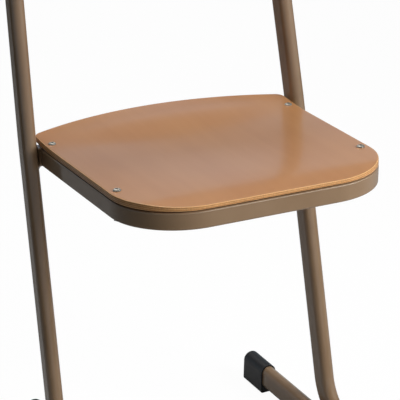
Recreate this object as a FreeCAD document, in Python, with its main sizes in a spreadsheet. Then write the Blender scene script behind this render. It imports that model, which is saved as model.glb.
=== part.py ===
import FreeCAD, Part
import math
import os

import Sketcher

os.makedirs("parts", exist_ok=True)
Vector = FreeCAD.Vector
Rotation = FreeCAD.Rotation
Placement = FreeCAD.Placement
UP = Vector(0, 0, 1)
ACROSS = Vector(1, 0, 0)
BACK = Vector(0, 1, 0)
NODES = []

# Driving dimensions, in millimetres and degrees
DIMENSIONS = [
    # flat-oval tube of the side frames
    ("tube_depth", 35),
    ("tube_width", 20),
    ("tube_wall", 1.6),
    ("weld_gap", 0.3),
    # uprights and legs, measured from the top of the seat at the uprights
    ("seat_height", 476),
    ("upright_spacing", 397.2),
    ("back_lean_angle", 13.9),
    ("inward_lean_angle", 1.9),
    ("outward_lean_angle", 0.9),
    ("kink_radius", 1500),
    ("upright_rise", 362),
    ("leg_bend_radius", 75),
    ("floor_clearance", 7.4),
    ("toe_out_angle", 3),
    ("front_reach", 309),
    ("runner_rear_reach", 75.5),
    ("runner_front_reach", 242),
    # black plastic foot caps and plugs
    ("cap_length", 56),
    ("cap_wall", 2.2),
    ("cap_end_wall", 6),
    ("cap_end_lean", 2),
    ("cap_edge_radius", 3),
    ("cap_clearance", 0.25),
    ("plug_flange", 3),
    ("plug_depth", 18),
    ("plug_round", 1.6),
    ("plug_clearance", 0.3),
    # seat ring and crossbar, in the plane of the seat
    ("seat_slope_angle", 4),
    ("ring_width", 366),
    ("ring_taper_angle", 0.75),
    ("ring_front_reach", 332.5),
    ("ring_corner_radius", 92),
    ("ring_tube_height", 25),
    ("ring_tube_width", 20),
    ("ring_tube_round", 2.5),
    ("ring_wall", 1.6),
    # plywood seat
    ("ply_thickness", 8),
    ("seat_overhang", 1.6),
    ("seat_front_overhang", 1),
    ("seat_rear_reach", 54.5),
    ("seat_rear_radius", 415),
    ("seat_rear_corner", 30),
    ("seat_lift", 6),
    ("seat_lift_start", 40),
    ("seat_lift_flare", 36),
    ("dish_depth", 5),
    ("dish_width", 306),
    ("dish_front", 292),
    ("dish_rear", 22),
    ("front_ease_length", 24),
    ("front_ease_radius", 62),
    # seat bolts
    ("rear_bolt_reach", 29),
    ("rear_bolt_inset", 8.2),
    ("front_bolt_reach", 239),
    ("front_bolt_inset", 9.8),
    # fasteners
    ("bolt_diameter", 6),
    ("bolt_hole", 6.6),
    ("head_diameter", 10.6),
    ("head_height", 3.2),
    ("socket_flats", 4),
    ("socket_depth", 2),
    ("washer_diameter", 12),
    ("washer_thickness", 1.6),
    ("nut_flats", 10),
    ("nut_height", 5.2),
    ("thread_clearance", 0.15),
    ("bolt_stub", 1.5),
    ("cap_nut_dome", 7.6),
    # backrest, measured along the uprights from the seat
    ("back_bottom", 216),
    ("back_height", 165),
    ("back_overhang", 13.4),
    ("back_thickness", 8),
    ("back_flat", 40),
    ("back_hollow_radius", 520),
    ("back_turn_radius", 180),
    ("back_corner_radius", 38),
    ("back_bolt_bottom", 34),
    ("back_bolt_top", 48),
]

doc = FreeCAD.newDocument("choir_chair")
sheet = doc.addObject("Spreadsheet::Sheet", "dims")
for row, (alias, value) in enumerate(DIMENSIONS, start=1):
    sheet.set(f"A{row}", alias)
    sheet.set(f"B{row}", str(value))
    sheet.setAlias(f"B{row}", alias)
doc.recompute()


def size(alias):
    return float(sheet.get(alias))


def slope(alias):
    return math.tan(math.radians(size(alias)))


# Levels and reference frames shared by several pieces
RUNNER_HEIGHT = size("floor_clearance") + size("tube_depth") / 2
RING_LEVEL = size("ply_thickness") + size("ring_tube_height") / 2
CROSSBAR_Y = -RING_LEVEL * math.tan(math.radians(size("back_lean_angle") - size("seat_slope_angle")))
RING_REAR_Y = CROSSBAR_Y - size("ring_tube_width") / 2 - size("weld_gap")
SEAT_FRAME = Placement(Vector(0, 0, size("seat_height")), Rotation(ACROSS, -size("seat_slope_angle")))
BACK_FRAME = Placement(Vector(0, 0, size("seat_height")), Rotation(ACROSS, -size("back_lean_angle")))


# Document helpers
def add_node(item, name):
    item.Label = name
    NODES.append(item)
    return item


def add_body(name):
    return doc.addObject("PartDesign::Body", name)


def add_sketch(body, plane_role, name, offset=0.0):
    plane = next(item for item in body.Origin.OriginFeatures if item.Role == plane_role)
    sketch = body.newObject("Sketcher::SketchObject", name)
    sketch.AttachmentSupport = [(plane, "")]
    sketch.MapMode = "FlatFace"
    sketch.AttachmentOffset = Placement(Vector(0, 0, offset), Rotation())
    return sketch


def constrain(sketch, name, expression, *definition):
    index = sketch.addConstraint(Sketcher.Constraint(*definition))
    sketch.renameConstraint(index, name)
    sketch.setExpression(f"Constraints.{name}", expression)


def add_slot(sketch, name, width, depth, height="0"):
    """Upright flat-oval outline whose centre is at the given height on the vertical axis."""
    half = 8.0
    reach = 6.0
    left = sketch.addGeometry(Part.LineSegment(Vector(-half, -reach, 0), Vector(-half, reach, 0)))
    right = sketch.addGeometry(Part.LineSegment(Vector(half, reach, 0), Vector(half, -reach, 0)))
    top_circle = Part.Circle(Vector(0, reach, 0), UP, half)
    top = sketch.addGeometry(Part.ArcOfCircle(top_circle, 0, math.pi))
    low_circle = Part.Circle(Vector(0, -reach, 0), UP, half)
    low = sketch.addGeometry(Part.ArcOfCircle(low_circle, math.pi, 2 * math.pi))
    for first, first_end, second, second_end in (
        (right, 1, top, 1), (top, 2, left, 2), (left, 1, low, 1), (low, 2, right, 2)
    ):
        sketch.addConstraint(Sketcher.Constraint("Tangent", first, first_end, second, second_end))
    sketch.addConstraint(Sketcher.Constraint("Vertical", left))
    sketch.addConstraint(Sketcher.Constraint("Vertical", right))
    sketch.addConstraint(Sketcher.Constraint("PointOnObject", top, 3, -2))
    constrain(sketch, f"{name}_radius", f"({width}) / 2", "Radius", top, half)
    constrain(sketch, f"{name}_reach", f"({depth}) - ({width})", "DistanceY", low, 3, top, 3, 2 * reach)
    constrain(sketch, f"{name}_height", f"({height}) + (({depth}) - ({width})) / 2",
              "DistanceY", -1, 1, top, 3, reach)


def add_rounded_rectangle(sketch, name, width, height, radius):
    """Rectangle with four equal round corners, centred on the sketch's origin."""
    x, y, r = 9.0, 11.0, 2.0
    bottom = sketch.addGeometry(Part.LineSegment(Vector(-x + r, -y, 0), Vector(x - r, -y, 0)))
    right = sketch.addGeometry(Part.LineSegment(Vector(x, -y + r, 0), Vector(x, y - r, 0)))
    top = sketch.addGeometry(Part.LineSegment(Vector(x - r, y, 0), Vector(-x + r, y, 0)))
    left = sketch.addGeometry(Part.LineSegment(Vector(-x, y - r, 0), Vector(-x, -y + r, 0)))
    sides = (bottom, right, top, left)
    across, up = x - r, y - r
    centres = (Vector(across, -up, 0), Vector(across, up, 0), Vector(-across, up, 0), Vector(-across, -up, 0))
    corners = []
    for turn, centre in enumerate(centres):
        start = (turn - 1) * math.pi / 2
        arc = Part.ArcOfCircle(Part.Circle(centre, UP, r), start, start + math.pi / 2)
        corners.append(sketch.addGeometry(arc))
    for turn, corner in enumerate(corners):
        following = sides[(turn + 1) % 4]
        sketch.addConstraint(Sketcher.Constraint("Tangent", sides[turn], 2, corner, 1))
        sketch.addConstraint(Sketcher.Constraint("Tangent", corner, 2, following, 1))
    for corner in corners[1:]:
        sketch.addConstraint(Sketcher.Constraint("Equal", corners[0], corner))
    sketch.addConstraint(Sketcher.Constraint("Horizontal", bottom))
    sketch.addConstraint(Sketcher.Constraint("Horizontal", top))
    sketch.addConstraint(Sketcher.Constraint("Vertical", right))
    sketch.addConstraint(Sketcher.Constraint("Vertical", left))
    sketch.addConstraint(Sketcher.Constraint("Symmetric", corners[0], 3, corners[2], 3, -1, 1))
    constrain(sketch, f"{name}_radius", radius, "Radius", corners[0], r)
    constrain(sketch, f"{name}_width", f"({width}) - 2 * ({radius})", "DistanceX", corners[3], 3, corners[0], 3,
              2 * (x - r))
    constrain(sketch, f"{name}_height", f"({height}) - 2 * ({radius})", "DistanceY", corners[0], 3, corners[1], 3,
              2 * (y - r))


def add_pad(body, sketch, name, length, midplane=False, reverse=False):
    pad = body.newObject("PartDesign::Pad", name)
    pad.Profile = sketch
    pad.setExpression("Length", length)
    pad.Midplane = midplane
    pad.Reversed = reverse
    return pad


def add_through_cut(body, sketch, name):
    cut = body.newObject("PartDesign::Pocket", name)
    cut.Profile = sketch
    cut.Type = "ThroughAll"
    cut.Midplane = True
    return cut


def add_fillet(body, name, edges, radius):
    base = body.Tip
    fillet = body.newObject("PartDesign::Fillet", name)
    fillet.Base = (base, edges)
    fillet.setExpression("Radius", radius)
    doc.recompute()


def add_shape(name, shape):
    feature = doc.addObject("Part::Feature", name)
    feature.Shape = shape
    return feature


# Swept flat-oval tube
def rounded_path(points, radii):
    """Wire of straight runs through the points, each inner point rounded by its radius."""
    edges = []
    start = points[0]
    for before, corner, after, radius in zip(points, points[1:], points[2:], radii):
        toward = (before - corner).normalize()
        away = (after - corner).normalize()
        half_turn = (math.pi - toward.getAngle(away)) / 2
        tangent = radius * math.tan(half_turn)
        first = corner + toward * tangent
        last = corner + away * tangent
        inward = (toward + away).normalize()
        middle = corner + inward * (radius / math.cos(half_turn) - radius)
        edges.append(Part.LineSegment(start, first).toShape())
        edges.append(Part.Arc(first, middle, last).toShape())
        start = last
    edges.append(Part.LineSegment(start, points[-1]).toShape())
    return Part.Wire(edges)


def slot_wire(centre, along, lateral, width, depth):
    """Flat-oval outline square to the direction along, with its flat faces square to lateral."""
    axis = along.normalize()
    side = (lateral - axis * lateral.dot(axis)).normalize()
    fore = axis.cross(side)
    radius = width / 2
    reach = depth / 2 - radius
    front = centre + fore * reach
    rear = centre - fore * reach
    edges = [
        Part.Arc(front + side * radius, front + fore * radius, front - side * radius).toShape(),
        Part.LineSegment(front - side * radius, rear - side * radius).toShape(),
        Part.Arc(rear - side * radius, rear - fore * radius, rear + side * radius).toShape(),
        Part.LineSegment(rear + side * radius, front + side * radius).toShape(),
    ]
    return Part.Wire(edges)


def sweep_slot(path, lateral, width, depth):
    start = path.OrderedVertexes[0].Point
    along = path.OrderedVertexes[1].Point - start
    pipe = Part.BRepOffsetAPI.MakePipeShell(path)
    pipe.setBiNormalMode(lateral)
    pipe.add(slot_wire(start, along, lateral, width, depth))
    pipe.build()
    pipe.makeSolid()
    return pipe.shape()


# Geometry of one side frame; side is 1 at the sitter's left and -1 at the right
class SideFrame:
    def __init__(self, side):
        toe = math.radians(size("toe_out_angle"))
        self.lateral = Vector(math.cos(toe), side * math.sin(toe), 0)
        self.outward = self.lateral * side
        self.forward = Vector(side * math.sin(toe), -math.cos(toe), 0)
        self.toe_turn = Rotation(UP, side * size("toe_out_angle"))
        self.up = Vector(-side * slope("inward_lean_angle"), slope("back_lean_angle"), 1).normalize()
        down = Vector(side * slope("outward_lean_angle"), -slope("back_lean_angle"), -1)
        self.seat_point = Vector(side * size("upright_spacing") / 2, 0, size("seat_height"))
        self.top = self.seat_point + self.up * size("upright_rise")
        self.heel = self.seat_point + down * (size("seat_height") - RUNNER_HEIGHT)
        self.front = self.along_floor(self.heel, -size("front_reach"))
        inner = self.heel - self.outward * (size("tube_width") + size("weld_gap"))
        self.runner_rear = self.along_floor(inner, size("runner_rear_reach"))
        self.runner_front = self.along_floor(inner, -size("runner_front_reach"))
        self.path = rounded_path(
            [self.top, self.seat_point, self.heel, self.front],
            [size("kink_radius"), size("leg_bend_radius")],
        )

    def along_floor(self, start, y):
        """Point at the given y on the floor tube's line through start."""
        return start + self.forward * ((y - start.y) / self.forward.y)


SIDES = {"left": SideFrame(1), "right": SideFrame(-1)}


def back_bolt_points(side):
    """Centres of one upright's two backrest bolts, in the frame of the backrest."""
    low = size("back_bottom") + size("back_bolt_bottom")
    high = size("back_bottom") + size("back_height") - size("back_bolt_top")
    lean = math.cos(math.radians(size("back_lean_angle"))) * slope("inward_lean_angle")
    return [Vector(side * (size("upright_spacing") / 2 - height * lean), 0, height) for height in (low, high)]


def seat_bolt_points():
    """Centres of the four seat bolts on the plane of the seat."""
    points = []
    for reach, inset in (("rear_bolt_reach", "rear_bolt_inset"), ("front_bolt_reach", "front_bolt_inset")):
        y = -size(reach)
        x = size("ring_width") / 2 + y * slope("ring_taper_angle") - size(inset)
        points += [Vector(x, y, 0), Vector(-x, y, 0)]
    return points


# Side tubes: one bent flat-oval tube each, drilled for the backrest bolts
def make_side_tube(name, frame, side):
    wall = size("tube_wall")
    outer = sweep_slot(frame.path, frame.lateral, size("tube_width"), size("tube_depth"))
    inner = sweep_slot(frame.path, frame.lateral, size("tube_width") - 2 * wall, size("tube_depth") - 2 * wall)
    shape = outer.cut(inner)
    drill_length = 2 * size("tube_depth")
    for point in back_bolt_points(side):
        start = point - BACK * (drill_length / 2)
        drill = Part.makeCylinder(size("bolt_hole") / 2, drill_length, start, BACK)
        drill.Placement = BACK_FRAME.multiply(drill.Placement)
        shape = shape.cut(drill)
    add_node(add_shape(name, shape), name)


# Rear runners: straight flat-oval tubes welded inside the bent tubes at the floor
def make_rear_runner(name, frame):
    body = add_body(name)
    profile = add_sketch(body, "XZ_Plane", f"{name}_section")
    add_slot(profile, "outer", "dims.tube_width", "dims.tube_depth")
    add_slot(profile, "inner", "dims.tube_width - 2 * dims.tube_wall", "dims.tube_depth - 2 * dims.tube_wall")
    length = (frame.runner_front - frame.runner_rear).Length
    pad = body.newObject("PartDesign::Pad", f"{name}_length")
    pad.Profile = profile
    pad.Length = length
    body.Placement = Placement(frame.runner_rear, frame.toe_turn)
    add_node(body, name)


# Foot caps: plastic sleeves with a flat sole and a closed end that leans in at the top
def make_foot_cap(name, tube_end, rotation):
    body = add_body(name)
    outline = add_sketch(body, "XZ_Plane", f"{name}_outline")
    half, shoulder = 13.0, 33.0
    sole = outline.addGeometry(Part.LineSegment(Vector(-half, 0, 0), Vector(half, 0, 0)))
    right = outline.addGeometry(Part.LineSegment(Vector(half, 0, 0), Vector(half, shoulder, 0)))
    arch_circle = Part.Circle(Vector(0, shoulder, 0), UP, half)
    arch = outline.addGeometry(Part.ArcOfCircle(arch_circle, 0, math.pi))
    left = outline.addGeometry(Part.LineSegment(Vector(-half, shoulder, 0), Vector(-half, 0, 0)))
    outline.addConstraint(Sketcher.Constraint("Coincident", sole, 2, right, 1))
    outline.addConstraint(Sketcher.Constraint("Tangent", right, 2, arch, 1))
    outline.addConstraint(Sketcher.Constraint("Tangent", arch, 2, left, 1))
    outline.addConstraint(Sketcher.Constraint("Coincident", left, 2, sole, 1))
    outline.addConstraint(Sketcher.Constraint("Horizontal", sole))
    outline.addConstraint(Sketcher.Constraint("Vertical", right))
    outline.addConstraint(Sketcher.Constraint("Vertical", left))
    outline.addConstraint(Sketcher.Constraint("Symmetric", sole, 1, sole, 2, -1, 1))
    arch_height = "dims.floor_clearance + dims.tube_depth - dims.tube_width / 2"
    constrain(outline, "arch_height", arch_height, "DistanceY", sole, 2, arch, 3, shoulder)
    constrain(outline, "arch_radius", "dims.tube_width / 2 + dims.cap_wall", "Radius", arch, half)
    add_pad(body, outline, f"{name}_block", "dims.cap_length")
    doc.recompute()

    lean = size("cap_end_lean")
    top = RUNNER_HEIGHT + size("tube_depth") / 2 + size("cap_wall")
    beyond = 2 * top
    points = [Vector(0, 0, 0), Vector(lean, 0, 0), Vector(lean, beyond, 0), Vector(-lean * beyond / top, beyond, 0)]
    slant = add_sketch(body, "YZ_Plane", f"{name}_slant")
    for start, end in zip(points, points[1:] + points[:1]):
        slant.addGeometry(Part.LineSegment(start, end))
    add_through_cut(body, slant, f"{name}_end")
    doc.recompute()

    edges = []
    for index, edge in enumerate(body.Shape.Edges, start=1):
        box = edge.BoundBox
        on_end = box.YMin > -1.5 * lean - 0.5
        on_sole_side = abs(box.ZMin) < 0.01 and abs(box.ZMax) < 0.01 and box.YLength > 2 * lean
        if on_end or on_sole_side:
            edges.append(f"Edge{index}")
    add_fillet(body, f"{name}_edges", edges, "dims.cap_edge_radius")

    socket = add_sketch(body, "XZ_Plane", f"{name}_socket", size("cap_end_wall"))
    clearance = "2 * dims.cap_clearance"
    add_slot(socket, "socket", f"dims.tube_width + {clearance}", f"dims.tube_depth + {clearance}",
             "dims.floor_clearance + dims.tube_depth / 2")
    pocket = body.newObject("PartDesign::Pocket", f"{name}_bore")
    pocket.Profile = socket
    pocket.Type = "ThroughAll"
    pocket.Reversed = True
    end = tube_end + rotation.multVec(BACK) * size("cap_end_wall")
    body.Placement = Placement(Vector(end.x, end.y, 0), rotation)
    add_node(body, name)


# Plugs: an insert inside the tube and a rounded flange over its end
def make_plug(name, tube_end, along, lateral):
    body = add_body(name)
    inset = "2 * (dims.tube_wall + dims.plug_clearance)"
    insert = add_sketch(body, "XY_Plane", f"{name}_insert_outline")
    add_slot(insert, "insert", f"dims.tube_width - {inset}", f"dims.tube_depth - {inset}")
    add_pad(body, insert, f"{name}_insert", "dims.plug_depth", reverse=True)
    flange = add_sketch(body, "XY_Plane", f"{name}_flange_outline")
    add_slot(flange, "flange", "dims.tube_width", "dims.tube_depth")
    add_pad(body, flange, f"{name}_flange", "dims.plug_flange")
    doc.recompute()
    edges = []
    for index, edge in enumerate(body.Shape.Edges, start=1):
        if abs(edge.BoundBox.ZMin - size("plug_flange")) < 0.01:
            edges.append(f"Edge{index}")
    add_fillet(body, f"{name}_round", edges, "dims.plug_round")
    axis = along.normalize()
    side = (lateral - axis * lateral.dot(axis)).normalize()
    fore = axis.cross(side)
    body.Placement = Placement(tube_end, Rotation(side, fore, axis, "ZXY"))
    add_node(body, name)


# Seat ring: rectangular tube bent into a U, drilled for the seat bolts
def make_seat_ring():
    body = add_body("seat_ring")
    half = size("ring_width") / 2 - size("ring_tube_width") / 2
    rear_x = half + RING_REAR_Y * slope("ring_taper_angle")
    front_y = -size("ring_front_reach") + size("ring_tube_width") / 2
    radius = size("ring_corner_radius") - size("ring_tube_width") / 2
    tangent_y = front_y + radius
    spine = add_sketch(body, "XY_Plane", "ring_path")
    corner_x = half - radius
    left = spine.addGeometry(Part.LineSegment(Vector(half, tangent_y, 0), Vector(rear_x, RING_REAR_Y, 0)))
    right = spine.addGeometry(Part.LineSegment(Vector(-half, tangent_y, 0), Vector(-rear_x, RING_REAR_Y, 0)))
    front = spine.addGeometry(Part.LineSegment(Vector(-corner_x, front_y, 0), Vector(corner_x, front_y, 0)))
    left_circle = Part.Circle(Vector(corner_x, tangent_y, 0), UP, radius)
    left_bend = spine.addGeometry(Part.ArcOfCircle(left_circle, -math.pi / 2, 0))
    right_circle = Part.Circle(Vector(-corner_x, tangent_y, 0), UP, radius)
    right_bend = spine.addGeometry(Part.ArcOfCircle(right_circle, math.pi, 3 * math.pi / 2))
    for first, first_end, second, second_end in (
        (front, 2, left_bend, 1), (left_bend, 2, left, 1), (front, 1, right_bend, 2), (right_bend, 1, right, 1)
    ):
        spine.addConstraint(Sketcher.Constraint("Tangent", first, first_end, second, second_end))
    spine.addConstraint(Sketcher.Constraint("Horizontal", front))
    spine.addConstraint(Sketcher.Constraint("Equal", left_bend, right_bend))
    spine.addConstraint(Sketcher.Constraint("Symmetric", left, 2, right, 2, -2))
    constrain(spine, "bend_radius", "dims.ring_corner_radius - dims.ring_tube_width / 2", "Radius", left_bend, radius)
    constrain(spine, "front_reach", "dims.ring_front_reach - dims.ring_tube_width / 2",
              "DistanceY", front, 1, -1, 1, -front_y)
    taper = math.radians(size("ring_taper_angle"))
    constrain(spine, "left_angle", "90 deg - dims.ring_taper_angle * 1 deg", "Angle", left, math.pi / 2 - taper)
    constrain(spine, "right_angle", "90 deg + dims.ring_taper_angle * 1 deg", "Angle", right, math.pi / 2 + taper)
    spine.addConstraint(Sketcher.Constraint("DistanceX", -1, 1, left, 2, rear_x))
    spine.addConstraint(Sketcher.Constraint("DistanceY", left, 2, -1, 1, -RING_REAR_Y))

    sections = []
    for name, shrink in (("outer", "0"), ("inner", "2 * dims.ring_wall")):
        section = add_sketch(body, "XZ_Plane", f"ring_{name}_section")
        section.AttachmentOffset = Placement(Vector(rear_x, 0, -RING_REAR_Y), Rotation())
        radius_text = "dims.ring_tube_round" if name == "outer" else "dims.ring_tube_round * 0.4"
        add_rounded_rectangle(section, name, f"dims.ring_tube_width - {shrink}",
                              f"dims.ring_tube_height - {shrink}", radius_text)
        sections.append(section)
    doc.recompute()
    for kind, section in zip(("AdditivePipe", "SubtractivePipe"), sections):
        pipe = body.newObject(f"PartDesign::{kind}", f"ring_{kind}")
        pipe.Profile = section
        pipe.Spine = spine
        doc.recompute()
    holes = add_sketch(body, "XY_Plane", "ring_holes")
    for point in seat_bolt_points():
        holes.addGeometry(Part.Circle(point, UP, size("bolt_hole") / 2))
    add_through_cut(body, holes, "ring_drilling")
    body.Placement = SEAT_FRAME.multiply(Placement(Vector(0, 0, -RING_LEVEL), Rotation()))
    add_node(body, "seat_ring")


# Rear crossbar: rectangular tube between the uprights, its ends coped to them
def make_rear_crossbar():
    body = add_body("crossbar_tube")
    section = add_sketch(body, "YZ_Plane", "crossbar_section")
    add_rounded_rectangle(section, "outer", "dims.ring_tube_width", "dims.ring_tube_height", "dims.ring_tube_round")
    add_rounded_rectangle(section, "inner", "dims.ring_tube_width - 2 * dims.ring_wall",
                          "dims.ring_tube_height - 2 * dims.ring_wall", "dims.ring_tube_round * 0.4")
    add_pad(body, section, "crossbar_length", "dims.upright_spacing", midplane=True)
    body.Placement = SEAT_FRAME.multiply(Placement(Vector(0, CROSSBAR_Y, -RING_LEVEL), Rotation()))
    gap = 2 * size("weld_gap")
    copes = []
    for name, frame in SIDES.items():
        envelope = sweep_slot(frame.path, frame.lateral, size("tube_width") + gap, size("tube_depth") + gap)
        copes.append(add_shape(f"{name}_cope", envelope))
    tools = doc.addObject("Part::MultiFuse", "crossbar_copes")
    tools.Shapes = copes
    bar = doc.addObject("Part::Cut", "coped_crossbar")
    bar.Base = body
    bar.Tool = tools
    add_node(bar, "rear_crossbar")


# Seat panel: moulded plywood, lifted at the rear, dished in the middle and eased at the front
def bump(t):
    return (1 - t * t) ** 2 if abs(t) < 1 else 0.0


def seat_top(x, y):
    """Height of the seat's top over its own plane; the rear lip starts farther forward at the sides."""
    start = size("seat_lift_start") + size("seat_lift_flare") * (2 * x / size("ring_width")) ** 2
    rise = size("seat_lift") * (max(0.0, y + start) / (size("seat_rear_reach") + size("seat_lift_start"))) ** 3
    middle = -(size("dish_front") + size("dish_rear")) / 2
    reach = (size("dish_front") - size("dish_rear")) / 2
    return rise - size("dish_depth") * bump(x / (size("dish_width") / 2)) * bump((y - middle) / reach)


def seat_outline_wire():
    """Plan of the seat: tapered sides, straight front, round corners and a bowed rear edge."""
    front_y = -size("ring_front_reach") - size("seat_front_overhang")
    half = size("ring_width") / 2 + size("seat_overhang")
    taper = slope("ring_taper_angle")
    front_x = half + front_y * taper
    bow_centre = size("seat_rear_reach") - size("seat_rear_radius")
    rear_x = half
    for _ in range(6):
        rear_y = bow_centre + math.sqrt(size("seat_rear_radius") ** 2 - rear_x ** 2)
        rear_x = half + rear_y * taper
    corners = [Vector(-front_x, front_y, 0), Vector(front_x, front_y, 0)]
    rear = [Vector(rear_x, rear_y, 0), Vector(-rear_x, rear_y, 0)]
    edges = [
        Part.LineSegment(corners[0], corners[1]).toShape(),
        Part.LineSegment(corners[1], rear[0]).toShape(),
        Part.Arc(rear[0], Vector(0, size("seat_rear_reach"), 0), rear[1]).toShape(),
        Part.LineSegment(rear[1], corners[0]).toShape(),
    ]
    return Part.Wire(edges)


def upright_edges(shape, behind):
    """Edges of a plan block that stand up, either behind the rear seat bolts or ahead of them."""
    found = []
    for edge in shape.Edges:
        box = edge.BoundBox
        stands = box.XLength < 0.01 and box.YLength < 0.01
        if stands and (box.YMin > -size("rear_bolt_reach")) == behind:
            found.append(edge)
    return found


def make_seat_panel():
    thickness = size("ply_thickness")
    margin = 12.0
    steps = 20
    width = size("ring_width") + 2 * size("seat_overhang") + 2 * margin
    front = -size("ring_front_reach") - margin
    depth = size("seat_rear_reach") + margin - front
    grid = []
    for i in range(steps + 1):
        x = (i / steps - 0.5) * width
        column = [front + j / steps * depth for j in range(steps + 1)]
        grid.append([Vector(x, y, seat_top(x, y)) for y in column])
    surface = Part.BSplineSurface()
    surface.interpolate(grid)
    veneer = add_shape("moulded_sheet", surface.toShape().extrude(Vector(0, 0, -thickness)))

    tall = 6 * thickness
    block = Part.Face(seat_outline_wire()).extrude(Vector(0, 0, tall))
    block.translate(Vector(0, 0, -tall / 2))
    block = block.makeFillet(size("ring_corner_radius"), upright_edges(block, behind=False))
    block = block.makeFillet(size("seat_rear_corner"), upright_edges(block, behind=True))
    outline = add_shape("seat_outline", block)
    trimmed = doc.addObject("Part::Common", "trimmed_sheet")
    trimmed.Base = veneer
    trimmed.Tool = outline

    ease_y = -size("ring_front_reach") - size("seat_front_overhang") + size("front_ease_length")
    ease_radius = size("front_ease_radius")
    block = doc.addObject("Part::Box", "ease_block")
    block.Length = width
    block.Width = size("front_ease_length") + margin
    block.Height = thickness
    block.Placement = Placement(Vector(-width / 2, ease_y - block.Width.Value, -thickness + 1), Rotation())
    roller = doc.addObject("Part::Cylinder", "ease_roller")
    roller.setExpression("Radius", "dims.front_ease_radius")
    roller.Height = 2 * width
    roller.Placement = Placement(Vector(-width, ease_y, -ease_radius), Rotation(BACK, 90))
    ease = doc.addObject("Part::Cut", "front_ease")
    ease.Base = block
    ease.Tool = roller
    drills = [ease]
    for index, point in enumerate(seat_bolt_points()):
        drill = doc.addObject("Part::Cylinder", f"seat_drill_{index}")
        drill.setExpression("Radius", "dims.bolt_hole / 2")
        drill.setExpression("Height", "4 * dims.ply_thickness")
        drill.Placement = Placement(point - UP * (2 * thickness), Rotation())
        drills.append(drill)
    tools = doc.addObject("Part::MultiFuse", "seat_cutters")
    tools.Shapes = drills
    panel = doc.addObject("Part::Cut", "drilled_seat")
    panel.Base = trimmed
    panel.Tool = tools
    panel.Placement = SEAT_FRAME
    add_node(panel, "seat_panel")


# Backrest panel: plywood with flat ends on the uprights and a hollow between them
def make_backrest_panel():
    body = add_body("backrest_panel")
    hollow = size("back_hollow_radius")
    turn = size("back_turn_radius")
    thickness = size("back_thickness")
    half = size("upright_spacing") / 2 + size("back_overhang")
    flat_x = half - size("back_flat")
    angle = math.asin(flat_x / (hollow + turn))
    seam = size("tube_depth") / 2 + size("weld_gap")
    sketch = add_sketch(body, "XY_Plane", "backrest_section")
    outlines = []
    for offset, hollow_r, turn_r in ((0.0, hollow, turn), (thickness, hollow - thickness, turn + thickness)):
        flat_y = -seam - offset
        turn_y = flat_y + turn_r
        centre_y = turn_y - (hollow_r + turn_r) * math.cos(angle)
        outlines.append((flat_y, hollow_r, turn_r, turn_y, centre_y))
    for flat_y, hollow_r, turn_r, turn_y, centre_y in outlines:
        for side in (1, -1):
            sketch.addGeometry(Part.LineSegment(Vector(side * flat_x, flat_y, 0), Vector(side * half, flat_y, 0)))
            circle = Part.Circle(Vector(side * flat_x, turn_y, 0), UP, turn_r)
            low, high = sorted((-math.pi / 2, -math.pi / 2 - side * angle))
            sketch.addGeometry(Part.ArcOfCircle(circle, low, high))
        middle = Part.Circle(Vector(0, centre_y, 0), UP, hollow_r)
        sketch.addGeometry(Part.ArcOfCircle(middle, math.pi / 2 - angle, math.pi / 2 + angle))
    rear_y, front_y = outlines[0][0], outlines[1][0]
    for x in (half, -half):
        sketch.addGeometry(Part.LineSegment(Vector(x, rear_y, 0), Vector(x, front_y, 0)))
    add_pad(body, sketch, "backrest_height", "dims.back_height")
    doc.recompute()

    corners = []
    for index, edge in enumerate(body.Shape.Edges, start=1):
        box = edge.BoundBox
        if box.XLength < 0.01 and box.ZLength < 0.01 and abs(abs(box.XMin) - half) < 0.01:
            corners.append(f"Edge{index}")
    add_fillet(body, "backrest_corners", corners, "dims.back_corner_radius")
    holes = add_sketch(body, "XZ_Plane", "backrest_holes")
    for point in back_bolt_points(1) + back_bolt_points(-1):
        centre = Vector(point.x, point.z - size("back_bottom"), 0)
        holes.addGeometry(Part.Circle(centre, UP, size("bolt_hole") / 2))
    add_through_cut(body, holes, "backrest_drilling")
    body.Placement = BACK_FRAME.multiply(Placement(UP * size("back_bottom"), Rotation()))
    add_node(body, "backrest_panel")


# Fasteners: each kind is modelled once, along its own axis, and repeated where it goes
def make_bolt(name, grip):
    """Button-head bolt: head above the origin, shank below it, and a hexagon socket."""
    head = size("head_diameter") / 2
    height = size("head_height")
    shank = size("bolt_diameter") / 2
    length = grip + size("bolt_stub")
    crown_x = head * 0.62
    rim = Vector(head, 0, height * 0.25)
    crown = Vector(crown_x, 0, height)
    dome = Part.Arc(rim, Vector(head * 0.88, 0, height * 0.68), crown)
    corners = [crown, Vector(0, 0, height), Vector(0, 0, -length), Vector(shank, 0, -length),
               Vector(shank, 0, 0), Vector(head, 0, 0), rim]
    edges = [dome.toShape()]
    edges += [Part.LineSegment(start, end).toShape() for start, end in zip(corners, corners[1:])]
    solid = Part.Face(Part.Wire(edges)).revolve(Vector(), UP, 360)
    key = hexagon(size("socket_flats"), size("socket_depth"))
    key.translate(UP * (height - size("socket_depth")))
    return add_shape(name, solid.cut(key))


def hexagon(flats, height):
    corner = Vector(flats / math.sqrt(3), 0, 0)
    points = [Rotation(UP, 60 * k).multVec(corner) for k in range(7)]
    return Part.Face(Part.makePolygon(points)).extrude(UP * height)


def make_nut(name):
    """Hexagon nut hanging below the origin."""
    nut = hexagon(size("nut_flats"), size("nut_height"))
    bore = Part.makeCylinder(size("bolt_diameter") / 2 + size("thread_clearance"), size("nut_height"))
    nut = nut.cut(bore)
    nut.translate(-UP * size("nut_height"))
    return add_shape(name, nut)


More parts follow.
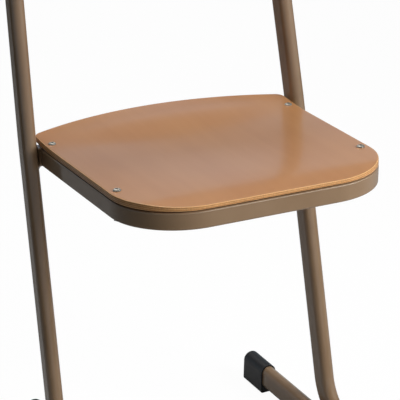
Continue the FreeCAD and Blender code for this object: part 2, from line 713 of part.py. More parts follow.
def make_cap_nut(name):
    """Hexagon nut with a dome over its far side, hanging below the origin."""
    radius = size("cap_nut_dome") / 2
    base = size("nut_height")
    dome = Part.makeSphere(radius).common(Part.makeBox(2 * radius, 2 * radius, radius, Vector(-radius, -radius, 0)))
    dome.translate(UP * base)
    nut = hexagon(size("nut_flats"), base).fuse(dome)
    bore = Part.makeCylinder(size("bolt_diameter") / 2 + size("thread_clearance"), base + size("bolt_stub") * 0.4)
    nut = nut.cut(bore).removeSplitter()
    nut = nut.mirror(Vector(), UP)
    return add_shape(name, nut)


def make_washer(name):
    thickness = size("washer_thickness")
    washer = Part.makeCylinder(size("washer_diameter") / 2, thickness)
    washer = washer.cut(Part.makeCylinder(size("bolt_hole") / 2, thickness))
    washer.translate(-UP * thickness)
    return add_shape(name, washer)


def repeat(name, pattern, placements):
    copies = []
    for place in placements:
        solid = pattern.Shape.copy()
        solid.Placement = place.multiply(solid.Placement)
        copies.append(solid)
    add_node(add_shape(name, Part.makeCompound(copies)), name)


def on_seat(points):
    return [SEAT_FRAME.multiply(Placement(point, Rotation())) for point in points]


def make_seat_fasteners():
    ring_bottom = size("ply_thickness") + size("ring_tube_height")
    washer_bottom = ring_bottom + size("washer_thickness")
    points = seat_bolt_points()
    tops = [point + UP * seat_top(point.x, point.y) for point in points]
    bolt = make_bolt("seat_bolt_pattern", washer_bottom + size("nut_height"))
    repeat("seat_bolts", bolt, on_seat(tops))
    repeat("seat_washers", make_washer("washer_pattern"), on_seat([point - UP * ring_bottom for point in points]))
    repeat("seat_nuts", make_nut("nut_pattern"), on_seat([point - UP * washer_bottom for point in points]))


def make_backrest_fasteners():
    face = size("tube_depth") / 2 + size("weld_gap") + size("back_thickness")
    rear = size("tube_depth") / 2
    grip = face + rear + size("nut_height") - size("bolt_stub")
    bolt = make_bolt("back_bolt_pattern", grip)
    turned = Rotation(ACROSS, 90)
    points = back_bolt_points(1) + back_bolt_points(-1)
    heads = [BACK_FRAME.multiply(Placement(point - BACK * face, turned)) for point in points]
    repeat("backrest_bolts", bolt, heads)
    ends = [BACK_FRAME.multiply(Placement(point + BACK * rear, turned)) for point in points]
    repeat("backrest_cap_nuts", make_cap_nut("cap_nut_pattern"), ends)


# Assembly
for name, frame in SIDES.items():
    side = 1 if name == "left" else -1
    half_turn = Rotation(UP, 180)
    make_side_tube(f"{name}_side_tube", frame, side)
    make_rear_runner(f"{name}_rear_runner", frame)
    make_foot_cap(f"rear_{name}_foot_cap", frame.runner_rear, frame.toe_turn)
    make_foot_cap(f"front_{name}_foot_cap", frame.front, frame.toe_turn.multiply(half_turn))
    make_plug(f"{name}_top_plug", frame.top, frame.up, frame.lateral)
    make_plug(f"{name}_runner_plug", frame.runner_front, frame.forward, frame.lateral)
make_seat_ring()
make_rear_crossbar()
make_seat_panel()
make_seat_fasteners()
make_backrest_panel()
make_backrest_fasteners()
doc.recompute()

# The origin is on the floor, under the middle of the whole chair
bounds = FreeCAD.BoundBox()
for item in NODES:
    bounds.add(item.Shape.optimalBoundingBox(False, False))
shift = Placement(Vector(0, -bounds.Center.y, 0), Rotation())
for item in NODES:
    item.Placement = shift.multiply(item.Placement)
doc.recompute()

for item in doc.Objects:
    if "Invalid" in item.State or "Error" in item.State:
        raise RuntimeError(f"{item.Name} failed: {item.State}")
for item in NODES:
    if item.Shape.isNull() or not item.Shape.isValid():
        raise RuntimeError(f"{item.Label} has no valid shape")
    item.Shape.exportStep(f"parts/{item.Label}.step")
print("origin shift", round(shift.Base.y, 3), "nodes", len(NODES))
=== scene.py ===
import math

import bpy
from mathutils import Matrix, Vector


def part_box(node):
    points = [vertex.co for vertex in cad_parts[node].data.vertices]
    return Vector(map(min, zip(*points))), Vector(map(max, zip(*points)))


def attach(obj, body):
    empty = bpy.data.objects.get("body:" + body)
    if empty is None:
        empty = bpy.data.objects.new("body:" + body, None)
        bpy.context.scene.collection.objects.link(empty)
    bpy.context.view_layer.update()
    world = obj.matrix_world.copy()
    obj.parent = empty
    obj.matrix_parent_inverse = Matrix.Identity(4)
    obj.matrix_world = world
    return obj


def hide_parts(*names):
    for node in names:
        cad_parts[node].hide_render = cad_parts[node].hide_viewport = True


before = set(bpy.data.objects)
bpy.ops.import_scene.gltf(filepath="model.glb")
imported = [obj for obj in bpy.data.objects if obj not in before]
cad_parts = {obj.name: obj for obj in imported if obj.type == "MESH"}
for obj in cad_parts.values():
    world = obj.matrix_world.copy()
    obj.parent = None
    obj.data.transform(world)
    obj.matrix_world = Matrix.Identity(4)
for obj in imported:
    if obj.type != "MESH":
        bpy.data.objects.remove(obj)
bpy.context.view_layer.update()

MM = 0.001

# Sizes shared with the solids, in millimetres
SEAT_HEIGHT = 476
SEAT_SLOPE = math.radians(4)
BACK_LEAN = math.radians(13.9)
PLY = 8
UPRIGHT_SPACING = 397.2
TUBE_DEPTH = 35
TUBE_WIDTH = 20
WELD_GAP = 0.3
RING_WIDTH = 366
RING_FRONT = 332.5
RING_HEIGHT = 25
RING_DEPTH = 20
RING_ROUND = 2.5
RING_TOP = -PLY
RING_BOTTOM = -PLY - RING_HEIGHT
TAPER = math.tan(math.radians(0.75))
SEAT_OVERHANG = 1.6
SEAT_FRONT = RING_FRONT + 1
SEAT_REAR = 54.5
SEAT_REAR_RADIUS = 415
SEAT_FRONT_CORNER = 92
LIFT = 6
LIFT_START = 40
LIFT_FLARE = 36
DISH_WIDTH = 306
DISH_FRONT = 292
BACK_BOTTOM = 216
BACK_HEIGHT = 165
BACK_HALF = UPRIGHT_SPACING / 2 + 13.4
BACK_FLAT = 40
BACK_HOLLOW = 520
BACK_TURN = 180
BACK_CORNER = 38
BACK_SEAM = TUBE_DEPTH / 2 + WELD_GAP

# Sizes that follow the photo more closely than the solids do, in millimetres
SEAT_REAR_CORNER = 14
STEP_START = 72
STEP_LENGTH = 76
STEP_HEIGHT = 4.6
STEP_HALF = 240
LIP_POWER = 1.3
DISH_DEPTH = 4.2
DISH_REAR = 4
EASE_LENGTH = 44
EASE_BEND = 16
EASE_SLOPE = 0.08
SEAT_GAP = 1.4
RING_SPREAD = 1.8
RING_FORWARD = 1.7
RING_PLUMB = 5
RING_TOP_ZONE = 3
HEAD_SHARE = 0.8
FRONT_NUT_SHARE = 0.75
REAR_NUT_SHARE = 0.45
BOLT_ROWS_PART = -150

# Rounded plywood edge and the rings of points over a sheet, as shares from its centre
EDGE_ROUND = 0.9
EDGE_TURNS = [math.radians(angle) for angle in (22.5, 45, 67.5, 90)]
SHEET_SHARES = (0.02, 0.1, 0.2, 0.3, 0.4, 0.5, 0.6, 0.7, 0.78, 0.84, 0.885, 0.92, 0.945, 0.965,
                0.98, 0.99, 1.0)

# The uprights' axes cross the seat's plane this far behind the row's origin
AXIS_Y = (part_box("seat_panel")[0].y / MM + SEAT_FRONT * math.cos(SEAT_SLOPE)
          + PLY * math.sin(SEAT_SLOPE))
PIVOT = Vector((0, AXIS_Y, SEAT_HEIGHT)) * MM
SEAT_FRAME = Matrix.Translation(PIVOT) @ Matrix.Rotation(-SEAT_SLOPE, 4, "X")
BACK_FRAME = Matrix.Translation(PIVOT) @ Matrix.Rotation(-BACK_LEAN, 4, "X")
STANDING = Matrix(((1, 0, 0, 0), (0, 0, -1, 0), (0, 1, 0, 0), (0, 0, 0, 1)))


# Node trees
def srgb(red, green, blue):
    """Linear colour of an sRGB colour given from 0 to 255."""
    def linear(value):
        value /= 255
        return value / 12.92 if value <= 0.04045 else ((value + 0.055) / 1.055) ** 2.4
    return (linear(red), linear(green), linear(blue), 1.0)


class Graph:
    """A node tree and short ways to add and link its nodes."""

    def __init__(self, tree):
        self.tree = tree

    def add(self, kind, **values):
        node = self.tree.nodes.new(kind)
        for name, value in values.items():
            setattr(node, name, value)
        return node

    def feed(self, socket, value):
        """Link an output to the socket, or give the socket its own value."""
        if isinstance(value, bpy.types.NodeSocket):
            self.tree.links.new(value, socket)
        else:
            socket.default_value = value

    def place(self, kind="Object"):
        return self.add("ShaderNodeTexCoord").outputs[kind]

    def calculate(self, operation, *values, kind="ShaderNodeMath"):
        node = self.add(kind, operation=operation)
        for socket, value in zip(node.inputs, values):
            self.feed(socket, value)
        return node.outputs["Value"]

    def measure(self, operation, first, second):
        """Number that a vector operation gives for two vectors."""
        return self.calculate(operation, first, second, kind="ShaderNodeVectorMath")

    def rescale(self, value, start, end, low=0.0, high=1.0):
        """Take the range from start to end to the range from low to high."""
        node = self.add("ShaderNodeMapRange")
        for name, given in (("Value", value), ("From Min", start), ("From Max", end),
                            ("To Min", low), ("To Max", high)):
            self.feed(node.inputs[name], given)
        return node.outputs["Result"]

    def mix(self, factor, first, second, blend="MIX"):
        """Mix two colours; the sockets are those of the node's colour form."""
        node = self.add("ShaderNodeMix", data_type="RGBA", blend_type=blend)
        self.feed(node.inputs["Factor"], factor)
        self.feed(node.inputs[6], first)
        self.feed(node.inputs[7], second)
        return node.outputs[2]

    def ramp(self, value, stops):
        node = self.add("ShaderNodeValToRGB")
        while len(node.color_ramp.elements) < len(stops):
            node.color_ramp.elements.new(0.5)
        for element, (position, colour) in zip(node.color_ramp.elements, stops):
            element.position = position
            element.color = colour
        self.feed(node.inputs["Fac"], value)
        return node.outputs["Color"]

    def noise(self, vector, scale, detail=3.0, stretch=(1, 1, 1)):
        mapping = self.add("ShaderNodeMapping")
        self.feed(mapping.inputs["Scale"], stretch)
        self.feed(mapping.inputs["Vector"], vector)
        node = self.add("ShaderNodeTexNoise")
        self.feed(node.inputs["Scale"], scale)
        self.feed(node.inputs["Detail"], detail)
        self.feed(node.inputs["Vector"], mapping.outputs["Vector"])
        return node.outputs["Fac"]


class Surface(Graph):
    """One material of the object, round its principled shader."""

    def __init__(self, name, roughness, metallic=0.0, coat=0.0, coat_roughness=0.1, specular=0.5):
        self.material = bpy.data.materials.new(name)
        self.material.use_nodes = True
        super().__init__(self.material.node_tree)
        self.shader = self.tree.nodes["Principled BSDF"]
        self.feed(self.shader.inputs["Roughness"], roughness)
        self.feed(self.shader.inputs["Metallic"], metallic)
        self.feed(self.shader.inputs["Coat Weight"], coat)
        self.feed(self.shader.inputs["Coat Roughness"], coat_roughness)
        self.feed(self.shader.inputs["Specular IOR Level"], specular)

    def colour(self, value):
        self.feed(self.shader.inputs["Base Color"], value)

    def bump(self, height, strength, distance):
        node = self.add("ShaderNodeBump")
        self.feed(node.inputs["Strength"], strength)
        self.feed(node.inputs["Distance"], distance)
        self.feed(node.inputs["Height"], height)
        self.feed(self.shader.inputs["Normal"], node.outputs["Normal"])


# Materials
# Painted highlight: a light line on the front of the ring, just under its top edge, in place of the
# light that its rounded edge catches
HIGHLIGHT_LINE_DROP = 1
HIGHLIGHT_LINE_HALF = 0.65 * MM
HIGHLIGHT_LINE_FACES = (0.2, -0.98, 0)
PAINTED_HIGHLIGHT_COLOUR = srgb(238, 226, 210)
LAYER = 1.14 * MM
LAYER_WOBBLE = 0.4 * MM
GLUE_LINE = srgb(140, 88, 48)
LONG_LAYER = srgb(238, 186, 126)
CROSS_LAYER = srgb(208, 144, 86)


def painted_highlight_mask(surface, height):
    """Mask of the painted highlight: a thin line, height millimetres over the seat's plane, on what
    faces front.
    """
    up = SEAT_FRAME.to_3x3().col[2]
    level = surface.measure("DOT_PRODUCT", surface.place(), up)
    line = surface.calculate("COMPARE", level, up.dot(PIVOT) + height * MM, HIGHLIGHT_LINE_HALF)
    normal = surface.add("ShaderNodeNewGeometry").outputs["Normal"]
    facing = surface.measure("DOT_PRODUCT", normal, HIGHLIGHT_LINE_FACES)
    return surface.calculate("MULTIPLY", line, surface.rescale(facing, 0.8, 0.97))


def make_paint(name, highlight_height=None):
    """Bronze paint, with a painted highlight standing in for the light edge of the ring, as a line
    where its height is given.
    """
    surface = Surface(name, roughness=0.45, coat=0.8, coat_roughness=0.1, specular=0.3)
    mottle = surface.noise(surface.place(), 18, 2)
    colour = surface.ramp(mottle, [(0.3, srgb(144, 117, 89)), (0.7, srgb(152, 125, 97))])
    if highlight_height is not None:
        # Painted highlight line mixed into the paint colour on the ring's front
        colour = surface.mix(painted_highlight_mask(surface, highlight_height), colour, PAINTED_HIGHLIGHT_COLOUR)
    surface.colour(colour)
    surface.bump(surface.noise(surface.place(), 900, 2), 0.04, 0.3 * MM)
    return surface.material


def make_veneer():
    """Lacquered beech: fine grain along the sheet over broad soft patches."""
    surface = Surface("beech_veneer", roughness=0.45, coat=0.8, coat_roughness=0.19, specular=0.3)
    grain = surface.noise(surface.place("UV"), 60, 4, (1.0, 0.06, 1.0))
    broad = surface.noise(surface.place("UV"), 9, 2, (1.0, 0.5, 1.0))
    fine = surface.ramp(grain, [(0.35, srgb(190, 133, 83)), (0.7, srgb(196, 139, 89))])
    patch = surface.ramp(broad, [(0.35, srgb(186, 127, 79)), (0.65, srgb(198, 142, 92))])
    surface.colour(surface.mix(0.45, fine, patch))
    return surface.material


def make_ply_edge():
    """Layers across the sheet's edge: light, glue line, dark, glue line, and again."""
    surface = Surface("ply_edge", roughness=0.5, coat=0.35, coat_roughness=0.25)
    place = surface.place("UV")
    split = surface.add("ShaderNodeSeparateXYZ")
    surface.feed(split.inputs[0], place)
    wobble = surface.noise(place, 40, 2, (1, 0.2, 1))
    depth = surface.calculate("MULTIPLY_ADD", wobble, LAYER_WOBBLE, split.outputs["Y"])
    layer = surface.calculate("FRACT", surface.calculate("MULTIPLY", depth, 1 / (2 * LAYER)))
    colour = surface.ramp(layer, [(0.0, LONG_LAYER), (0.44, LONG_LAYER), (0.5, GLUE_LINE),
                                  (0.56, CROSS_LAYER), (0.94, CROSS_LAYER), (1.0, GLUE_LINE)])
    streaks = surface.noise(place, 700, 2, (1, 0.3, 1))
    shade = surface.ramp(streaks, [(0.35, (0.72, 0.72, 0.72, 1)), (0.65, (1, 1, 1, 1))])
    surface.colour(surface.mix(0.6, colour, shade, blend="MULTIPLY"))
    return surface.material


def make_plastic():
    surface = Surface("black_plastic", roughness=0.45)
    surface.colour(srgb(34, 33, 34))
    surface.bump(surface.noise(surface.place(), 1600, 2), 0.08, 0.2 * MM)
    return surface.material


def make_steel():
    surface = Surface("zinc_steel", roughness=0.5, metallic=0.9)
    surface.colour(srgb(190, 186, 176))
    return surface.material


PAINT = make_paint("bronze_paint")
# The ring's paint, with the painted highlight line just under its top edge
RING_PAINT_HIGHLIGHTED = make_paint("bronze_paint_painted_highlight", RING_TOP - SEAT_GAP - HIGHLIGHT_LINE_DROP)
VENEER = make_veneer()
PLY_EDGE = make_ply_edge()
PLASTIC = make_plastic()
STEEL = make_steel()


# Mesh helpers
def add_piece(name, mesh, materials, node=None):
    """Piece riding on the frame, in place of a solid where one is named."""
    for material in materials:
        mesh.materials.append(material)
    piece = bpy.data.objects.new(name, mesh)
    bpy.context.scene.collection.objects.link(piece)
    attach(piece, "root")
    if node:
        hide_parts(node)
    return piece


def smooth_mesh(name, points, faces):
    mesh = bpy.data.meshes.new(name)
    mesh.from_pydata([tuple(p) for p in points], [], faces)
    mesh.validate()
    mesh.polygons.foreach_set("use_smooth", [True] * len(mesh.polygons))
    return mesh


def set_uv(mesh, coordinates):
    """Give each corner the pair that coordinates(polygon, vertex) returns."""
    layer = mesh.uv_layers.new(name="surface")
    for polygon in mesh.polygons:
        for loop in polygon.loop_indices:
            layer.data[loop].uv = coordinates(polygon, mesh.loops[loop].vertex_index)


def band(first, second, count):
    """Quads between two closed rings of count points that start at the given indices."""
    return [(first + i, second + i, second + (i + 1) % count, first + (i + 1) % count)
            for i in range(count)]


def arc(centre, radius, start, end, steps):
    angles = [start + (end - start) * i / steps for i in range(steps + 1)]
    return [Vector((centre[0] + radius * math.cos(angle), centre[1] + radius * math.sin(angle)))
            for angle in angles]


def straight(start, end, steps):
    """Points between two ends, without the ends."""
    return [start.lerp(end, i / steps) for i in range(1, steps)]


def rounded_rectangle(centre, half_x, half_y, corner, corner_steps, steps_along, steps_up):
    """Closed plan, counter-clockwise from the start of its lower right corner."""
    points = []
    for turn, (side_x, side_y) in enumerate(((1, -1), (1, 1), (-1, 1), (-1, -1))):
        start = (turn - 1) * math.pi / 2
        middle = (centre[0] + side_x * (half_x - corner), centre[1] + side_y * (half_y - corner))
        round_corner = arc(middle, corner, start, start + math.pi / 2, corner_steps)
        if points:
            points += straight(points[-1], round_corner[0], steps_up if turn % 2 else steps_along)
        points += round_corner
    return points + straight(points[-1], points[0], steps_along)


# Sheets of plywood with rounded edges
def make_sheet(name, node, outline, top, under, matrix, centre):
    """Panel over a plan outline, in millimetres.

    Its upper face follows top(x, y) and its lower face under(x, y), lower by PLY.
    """
    count = len(outline)
    following = outline[1:] + outline[:1]
    outward = []
    for i, point in enumerate(following):
        along = (point - outline[i - 1]).normalized()
        outward.append(Vector((along.y, -along.x)))
    lengths = [0.0]
    for point, after in zip(outline, following):
        lengths.append(lengths[-1] + (after - point).length)
    inner = [p - n * EDGE_ROUND for p, n in zip(outline, outward)]
    points = []
    flat = []
    rings = []

    def add_ring(plan, heights):
        rings.append(len(points))
        for p, height in zip(plan, heights):
            points.append(Vector((p.x, p.y, height)) * MM)
            flat.append(p)

    def shrunk(share):
        return [centre.lerp(p, share) for p in inner]

    def swollen(turn):
        return [p + n * EDGE_ROUND * math.sin(turn) for p, n in zip(inner, outward)]

    for share in SHEET_SHARES:
        add_ring(shrunk(share), [top(p.x, p.y) for p in shrunk(share)])
    first_edge = len(rings) - 1
    for turn in EDGE_TURNS:
        drop = EDGE_ROUND * (1 - math.cos(turn))
        add_ring(swollen(turn), [top(p.x, p.y) - drop for p in inner])
    for turn in reversed(EDGE_TURNS):
        rise = EDGE_ROUND * (1 - math.cos(turn))
        add_ring(swollen(turn), [under(p.x, p.y) - PLY + rise for p in inner])
    last_edge = len(rings)
    for share in reversed(SHEET_SHARES):
        add_ring(shrunk(share), [under(p.x, p.y) - PLY for p in shrunk(share)])
    faces = []
    on_edge = []
    for k, (first, second) in enumerate(zip(rings, rings[1:])):
        faces += band(first, second, count)
        on_edge += [first_edge <= k < last_edge] * count
    faces.append(tuple(range(rings[0], rings[0] + count)))
    faces.append(tuple(range(rings[-1] + count - 1, rings[-1] - 1, -1)))
    on_edge += [False, False]
    mesh = smooth_mesh(name, points, faces)
    piece = add_piece(name, mesh, (VENEER, PLY_EDGE), node)
    for polygon, is_edge in zip(mesh.polygons, on_edge):
        polygon.material_index = 1 if is_edge else 0

    def coordinates(polygon, vertex):
        """Length round the edge and depth under the top face, or else the place in plan."""
        p = flat[vertex]
        if not polygon.material_index:
            return (p.x * MM, p.y * MM)
        column = vertex % count
        corners = [mesh.loops[loop].vertex_index % count for loop in polygon.loop_indices]
        along = lengths[count] if column == 0 and count - 1 in corners else lengths[column]
        return (along * MM, top(p.x, p.y) * MM - points[vertex].z)

    set_uv(mesh, coordinates)
    mesh.transform(matrix)
    return piece


def bump_shape(t):
    """Smooth hump from 1 in the middle to 0 at -1 and 1."""
    return (1 - t * t) ** 2 if abs(t) < 1 else 0.0


def seat_sheet(x, y):
    """The solid's sheet, with its rear rise drawn forward into a soft step in the middle."""
    start = LIFT_START + LIFT_FLARE * (2 * x / RING_WIDTH) ** 2
    rise = LIFT * (max(0.0, y + start) / (SEAT_REAR + LIFT_START)) ** 3
    step = min(1.0, max(0.0, (y + STEP_START) / STEP_LENGTH))
    lip = (LIFT - STEP_HEIGHT) * max(0.0, y / SEAT_REAR) ** LIP_POWER
    lip += STEP_HEIGHT * step * step * (3 - 2 * step)
    rise += (lip - rise) * bump_shape(x / STEP_HALF)
    middle = -(DISH_FRONT + DISH_REAR) / 2
    reach = (DISH_FRONT - DISH_REAR) / 2
    return rise - DISH_DEPTH * bump_shape(2 * x / DISH_WIDTH) * bump_shape((y - middle) / reach)


def seat_top(x, y):
    """Upper face of the seat, with the eased front edge."""
    past = min(EASE_LENGTH, max(0.0, -SEAT_FRONT + EASE_LENGTH - y))
    bent = min(past, EASE_BEND)
    return seat_sheet(x, y) - EASE_SLOPE * (bent * bent / (2 * EASE_BEND) + past - bent)


def seat_outline():
    """Plan of the seat, counter-clockwise from the middle of the front edge."""
    lean = math.atan(TAPER)
    half = RING_WIDTH / 2 + SEAT_OVERHANG
    front_y = -SEAT_FRONT + SEAT_FRONT_CORNER
    front_x = half + front_y * TAPER - SEAT_FRONT_CORNER / math.cos(lean)
    bow_y = SEAT_REAR - SEAT_REAR_RADIUS
    reach = SEAT_REAR_RADIUS - SEAT_REAR_CORNER
    corner_y = 0.0
    for _ in range(20):
        corner_x = half + corner_y * TAPER - SEAT_REAR_CORNER / math.cos(lean)
        corner_y = bow_y + math.sqrt(reach ** 2 - corner_x ** 2)
    rear_turn = math.atan2(corner_y - bow_y, corner_x)
    side = [Vector((0, -SEAT_FRONT))]
    side += straight(side[0], Vector((front_x, -SEAT_FRONT)), 16)
    side += arc((front_x, front_y), SEAT_FRONT_CORNER, -math.pi / 2, -lean, 40)
    rear = arc((corner_x, corner_y), SEAT_REAR_CORNER, -lean, rear_turn, 14)
    side += straight(side[-1], rear[0], 30) + rear
    side += arc((0, bow_y), SEAT_REAR_RADIUS, rear_turn, math.pi / 2, 30)[1:]
    mirrored = [Vector((-p.x, p.y)) for p in side[-2:0:-1]]
    return side + mirrored


def back_face(x, _):
    """Distance from the uprights' axis to the front face, flat at the uprights and else hollow."""
    flat_x = BACK_HALF - BACK_FLAT
    angle = math.asin(flat_x / (BACK_HOLLOW + BACK_TURN))
    x = abs(x)
    if x >= flat_x:
        rear = 0.0
    elif x >= BACK_HOLLOW * math.sin(angle):
        rear = BACK_TURN - math.sqrt(BACK_TURN ** 2 - (flat_x - x) ** 2)
    else:
        rear = (BACK_TURN - (BACK_HOLLOW + BACK_TURN) * math.cos(angle)
                + math.sqrt(BACK_HOLLOW ** 2 - x ** 2))
    return BACK_SEAM + PLY - rear


SEAT_CENTRE = Vector((0, -140))
BACK_CENTRE = Vector((0, BACK_BOTTOM + BACK_HEIGHT / 2))
make_sheet("seat_sheet", "seat_panel", seat_outline(), seat_top, seat_sheet, SEAT_FRAME,
           SEAT_CENTRE)
make_sheet("backrest_sheet", "backrest_panel",
           rounded_rectangle(BACK_CENTRE, BACK_HALF, BACK_HEIGHT / 2, BACK_CORNER, 14, 40, 16),
           back_face, back_face, BACK_FRAME @ STANDING, BACK_CENTRE)


# The seat ring and its fasteners, redrawn from the solids' meshes
def redraw(name, material, move):
    """Copy of a solid's mesh; move(point) places its points, in millimetres in the seat's frame."""
    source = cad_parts[name]
    mesh = source.data.copy()
    mesh.transform(SEAT_FRAME.inverted() @ source.matrix_world)
    for vertex in mesh.vertices:
        vertex.co = move(vertex.co / MM) * MM
    mesh.transform(SEAT_FRAME)
    mesh.materials.clear()
    add_piece(f"{name}_shown", mesh, (material,), name)


def widen_ring(point):
    """Lower the ring's top by the gap and take its outside nearly level with the ply's edge."""
    spread = 1 + RING_SPREAD / (RING_WIDTH / 2)
    share = (point.z - RING_BOTTOM - RING_PLUMB) / RING_HEIGHT
    forward = 1 + RING_FORWARD / RING_FRONT * share
    height = point.z - SEAT_GAP if point.z > RING_TOP - RING_TOP_ZONE else point.z
    return Vector((point.x * spread, point.y * forward, height))


def shorten(point):
    """Flatter heads, and shorter bolt ends under the ring, the rear pair most."""
    height = point.z * HEAD_SHARE if point.z > 0 else point.z
    if point.z < RING_BOTTOM:
        share = FRONT_NUT_SHARE if point.y < BOLT_ROWS_PART else REAR_NUT_SHARE
        height = RING_BOTTOM + (point.z - RING_BOTTOM) * share
    return Vector((point.x, point.y, height))


# The ring is drawn in the paint that holds the painted highlight line
redraw("seat_ring", RING_PAINT_HIGHLIGHTED, widen_ring)
for name in ("seat_bolts", "seat_washers", "seat_nuts"):
    redraw(name, STEEL, shorten)

# Weld fillets where the crossbar meets the uprights, in millimetres
WELD_REACH = 5.5
WELD_RISE = 4.2
WELD_SKIN = 0.05
WELD_SINK = 1.2
WELD_RIPPLE = 0.12
WELD_RIPPLE_TURN = 1.9
WELD_STEPS = 6


def weld_fillet(name, side):
    """Concave skirt with ripples round the crossbar's end."""
    level = PLY + RING_HEIGHT / 2
    centre_y = -level * math.tan(BACK_LEAN - SEAT_SLOPE)
    plan = rounded_rectangle((0, 0), RING_DEPTH / 2, RING_HEIGHT / 2, RING_ROUND, 5, 12, 12)
    count = len(plan)
    face_x = UPRIGHT_SPACING / 2 - TUBE_WIDTH / 2 + WELD_SINK
    points = []
    for step in range(WELD_STEPS + 1):
        share = step / WELD_STEPS
        for i, p in enumerate(plan):
            out = (plan[(i + 1) % count] - plan[i - 1]).normalized()
            ripple = 1 + WELD_RIPPLE * math.sin(i * WELD_RIPPLE_TURN)
            swell = WELD_RISE * (1 - share) ** 2 * ripple + WELD_SKIN
            y = centre_y + p.x + out.y * swell
            z = -level + p.y - out.x * swell
            points.append(Vector((side * (face_x - WELD_REACH * share), y, z)) * MM)
    faces = []
    for step in range(WELD_STEPS):
        faces += band(step * count, (step + 1) * count, count)
    if side < 0:
        faces = [face[::-1] for face in faces]
    mesh = smooth_mesh(name, points, faces)
    mesh.transform(SEAT_FRAME)
    add_piece(name, mesh, (PAINT,))


weld_fillet("weld_fillet_left", 1)
weld_fillet("weld_fillet_right", -1)

# The solids that are shown as they are
SHOWN = {
    PAINT: ("left_side_tube", "right_side_tube", "left_rear_runner", "right_rear_runner",
            "rear_crossbar"),
    PLASTIC: ("rear_left_foot_cap", "rear_right_foot_cap", "front_left_foot_cap",
              "front_right_foot_cap", "left_top_plug", "right_top_plug", "left_runner_plug",
              "right_runner_plug"),
    STEEL: ("backrest_bolts", "backrest_cap_nuts"),
}
for material, names in SHOWN.items():
    for name in names:
        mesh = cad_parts[name].data
        mesh.materials.clear()
        mesh.materials.append(material)

# Studio, in metres and watts
WHITE = (1, 1, 1, 1)
FILL = (0.056, 0.06, 0.064, 1)
GLOSS_LOW = (0.37, 0.47, 0.57, 1)
GLOSS_HIGH = (0.05, 0.055, 0.06, 1)
GLOSS_TURN = (0.265, 0.345)
FLOOR_HALF = 6.0
FLOOR_DROP = 0.2 * MM
FLOOR_BOUNCE = (0.22, 0.22, 0.22, 1)
FLOOR_MIRRORED = (0.48, 0.06)
FLOOR_MIRRORED_FADE = (1.5, 2.6)
FLOOR_GLOW = (0.95, 1.0)
FLOOR_GLOW_FADE = (0.8, 2.6)
FLOOR_MIDDLE = (0.5, 1.1, 0)


def make_floor_surface():
    """White to the camera with some of the shadows, and a darker floor far off in reflections."""
    material = bpy.data.materials.new("pale_floor")
    material.use_nodes = True
    graph = Graph(material.node_tree)
    graph.tree.nodes.clear()
    path = graph.add("ShaderNodeLightPath")
    distance = graph.measure("DISTANCE", graph.place(), FLOOR_MIDDLE)
    mirrored = graph.rescale(distance, *FLOOR_MIRRORED_FADE, *FLOOR_MIRRORED)
    unseen = graph.mix(path.outputs["Is Glossy Ray"], FLOOR_BOUNCE, mirrored)
    diffuse = graph.add("ShaderNodeBsdfDiffuse")
    graph.feed(diffuse.inputs["Color"], graph.mix(path.outputs["Is Camera Ray"], unseen, WHITE))
    glow = graph.add("ShaderNodeEmission")
    graph.feed(glow.inputs["Color"], WHITE)
    share = graph.rescale(distance, *FLOOR_GLOW_FADE, *FLOOR_GLOW)
    mix = graph.add("ShaderNodeMixShader")
    graph.feed(mix.inputs["Fac"],
               graph.calculate("MULTIPLY", path.outputs["Is Camera Ray"], share))
    graph.feed(mix.inputs[1], diffuse.outputs[0])
    graph.feed(mix.inputs[2], glow.outputs[0])
    output = graph.add("ShaderNodeOutputMaterial")
    graph.feed(output.inputs["Surface"], mix.outputs[0])
    return material


def make_floor():
    half = FLOOR_HALF
    corners = [(-half, -half, 0), (half, -half, 0), (half, half, 0), (-half, half, 0)]
    mesh = bpy.data.meshes.new("floor")
    mesh.from_pydata(corners, [], [(0, 1, 2, 3)])
    mesh.materials.append(make_floor_surface())
    floor = bpy.data.objects.new("floor", mesh)
    floor.location.z = -FLOOR_DROP
    bpy.context.scene.collection.objects.link(floor)


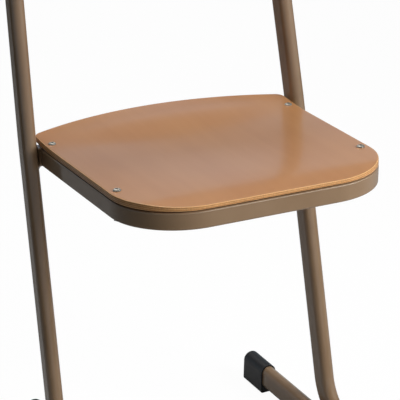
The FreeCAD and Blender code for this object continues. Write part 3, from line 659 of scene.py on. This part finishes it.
def make_world():
    """White to the camera, a dim fill, and a pale cool band low down in reflections."""
    world = bpy.data.worlds.new("studio")
    world.use_nodes = True
    bpy.context.scene.world = world
    graph = Graph(world.node_tree)
    path = graph.add("ShaderNodeLightPath")
    split = graph.add("ShaderNodeSeparateXYZ")
    graph.feed(split.inputs[0], graph.place("Generated"))
    horizon = graph.ramp(split.outputs["Z"], list(zip(GLOSS_TURN, (GLOSS_LOW, GLOSS_HIGH))))
    unseen = graph.mix(path.outputs["Is Glossy Ray"], FILL, horizon)
    seen = graph.calculate("MAXIMUM", path.outputs["Is Camera Ray"],
                           path.outputs["Is Transmission Ray"])
    graph.feed(graph.tree.nodes["Background"].inputs["Color"], graph.mix(seen, unseen, WHITE))


def turn_to(thing, target):
    """Point a lamp or the camera at a place."""
    way = Vector(target) - thing.location
    thing.rotation_euler = way.to_track_quat("-Z", "Y").to_euler()


def add_lamp(name, position, target, width, height, power, mirrored=True, matt=True):
    """Rectangular lamp; mirrored: it shows in gloss, matt: it lights matt surfaces."""
    data = bpy.data.lights.new(name, "AREA")
    data.shape = "RECTANGLE"
    data.size = width
    data.size_y = height
    data.energy = power
    lamp = bpy.data.objects.new(name, data)
    lamp.visible_glossy = mirrored
    lamp.visible_diffuse = matt
    lamp.location = position
    turn_to(lamp, target)
    bpy.context.scene.collection.objects.link(lamp)


make_floor()
make_world()
KEY_DISTANCE = 1.8
KEY_AZIMUTH = math.radians(40)
KEY_HEIGHT = math.radians(27)
KEY_TARGET = Vector((0, 0, 0.4))
KEY_PLACE = KEY_TARGET + KEY_DISTANCE * Vector((math.sin(KEY_AZIMUTH) * math.cos(KEY_HEIGHT),
                                                -math.cos(KEY_AZIMUTH) * math.cos(KEY_HEIGHT),
                                                math.sin(KEY_HEIGHT)))
add_lamp("key", KEY_PLACE, KEY_TARGET, 0.9, 0.9, 26, mirrored=False)
add_lamp("glint", KEY_PLACE, KEY_TARGET, 0.5, 0.5, 9, matt=False)
add_lamp("overhead", (0.0, 0.75, 2.05), (0, -0.05, 0.45), 1.2, 1.0, 22)
add_lamp("low_fill", (0.1, -1.6, 0.12), (0, -0.1, 0.4), 0.8, 0.2, 4.6, mirrored=False)
add_lamp("rear_fill", (0.9, 2.2, 1.1), (0, 0, 0.5), 1.2, 1.2, 9, mirrored=False)

# Camera
camera_data = bpy.data.cameras.new("camera")
camera_data.lens = 174.55
camera_data.sensor_width = 36
camera_data.clip_end = 50
camera = bpy.data.objects.new("camera", camera_data)
camera.location = (-1.0006, -2.1394, 1.41938)
turn_to(camera, (-0.0024, -0.005174, 0.40304))
bpy.context.scene.collection.objects.link(camera)
bpy.context.scene.camera = camera
bpy.context.scene.view_settings.view_transform = "Standard"
